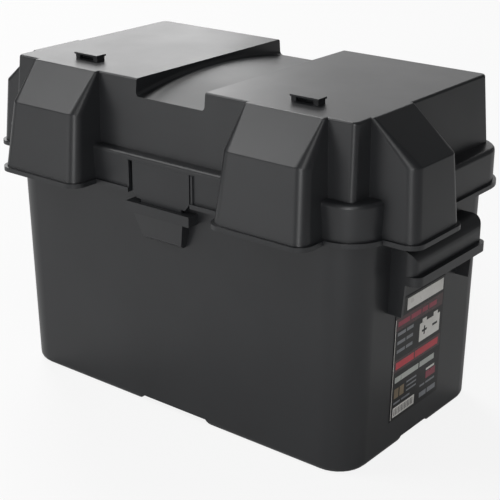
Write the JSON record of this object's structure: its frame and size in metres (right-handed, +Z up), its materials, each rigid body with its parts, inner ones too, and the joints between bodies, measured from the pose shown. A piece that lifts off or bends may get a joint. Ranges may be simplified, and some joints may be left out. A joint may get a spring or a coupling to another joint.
{
  "type": "battery box with deep cycle battery",
  "caption": "Snap-top plastic battery box with cable hoods, strap channel and end handles, holding a flooded deep cycle battery.",
  "frame": {"origin": "bottom centre of the bounding box, on the floor the box stands on", "axes": "+X along the box, -Y towards the side with the two cable hoods, +Z up"},
  "size_m": [0.4092, 0.2319, 0.2696],
  "materials": {
    "box_plastic": "satin moulded polypropylene, black",
    "label_film": "printed vinyl film, black with plain white and red blocks",
    "case_plastic": "moulded polypropylene, black",
    "cap_plastic": "moulded polypropylene, yellow",
    "strap_plastic": "flexible polyethylene strap",
    "seal_rubber": "moulded nitrile rubber",
    "lead": "cast lead alloy, dull grey",
    "stainless": "turned stainless steel",
    "positive_paste": "lead dioxide paste on a cast grid, dark brown",
    "negative_paste": "sponge lead on a cast grid, slate grey",
    "separator_sheet": "porous polyethylene sheet with a glass mat"
  },
  "bodies": {
    "box": {"box_tub": "box_plastic", "end_label": "label_film", "battery_case": "case_plastic", "battery_cover": "case_plastic", "carry_strap": "strap_plastic", "positive_bushing": "lead", "negative_bushing": "lead", "positive_post": "lead", "negative_post": "lead", "positive_stud": "stainless", "negative_stud": "stainless", "positive_nut": "stainless", "negative_nut": "stainless", "positive_washer": "stainless", "negative_washer": "stainless", "cell_connectors": "lead", "cell_1_positive_plates": "positive_paste", "cell_2_positive_plates": "positive_paste", "cell_3_positive_plates": "positive_paste", "cell_4_positive_plates": "positive_paste", "cell_5_positive_plates": "positive_paste", "cell_6_positive_plates": "positive_paste", "cell_1_negative_plates": "negative_paste", "cell_2_negative_plates": "negative_paste", "cell_3_negative_plates": "negative_paste", "cell_4_negative_plates": "negative_paste", "cell_5_negative_plates": "negative_paste", "cell_6_negative_plates": "negative_paste", "cell_1_separators": "separator_sheet", "cell_2_separators": "separator_sheet", "cell_3_separators": "separator_sheet", "cell_4_separators": "separator_sheet", "cell_5_separators": "separator_sheet", "cell_6_separators": "separator_sheet"},
    "lid": {"lid_shell": "box_plastic"},
    "front_tab": {"front_snap_tab": "box_plastic"},
    "rear_tab": {"rear_snap_tab": "box_plastic"},
    "left_cap": {"vent_cap_left": "cap_plastic", "cap_seals_left": "seal_rubber"},
    "right_cap": {"vent_cap_right": "cap_plastic", "cap_seals_right": "seal_rubber"}
  },
  "joints": [
    {"name": "lid_lift", "type": "slide", "parent": "box", "child": "lid", "axis": [0, 0, 1], "range_m": [0, 0.12]},
    {"name": "front_tab_flex", "type": "hinge", "parent": "lid", "child": "front_tab", "pos_m": [0, -0.08889, 0.206], "axis": [1, 0, 0], "range_deg": [0, 3], "stiffness_Nm_per_rad": 0.6},
    {"name": "rear_tab_flex", "type": "hinge", "parent": "lid", "child": "rear_tab", "pos_m": [0, 0.11004, 0.206], "axis": [-1, 0, 0], "range_deg": [0, 3], "stiffness_Nm_per_rad": 0.6},
    {"name": "left_cap_pull", "type": "slide", "parent": "box", "child": "left_cap", "axis": [0, 0, 1], "range_m": [0, 0.012]},
    {"name": "right_cap_pull", "type": "slide", "parent": "box", "child": "right_cap", "axis": [0, 0, 1], "range_m": [0, 0.012]}
  ]
}
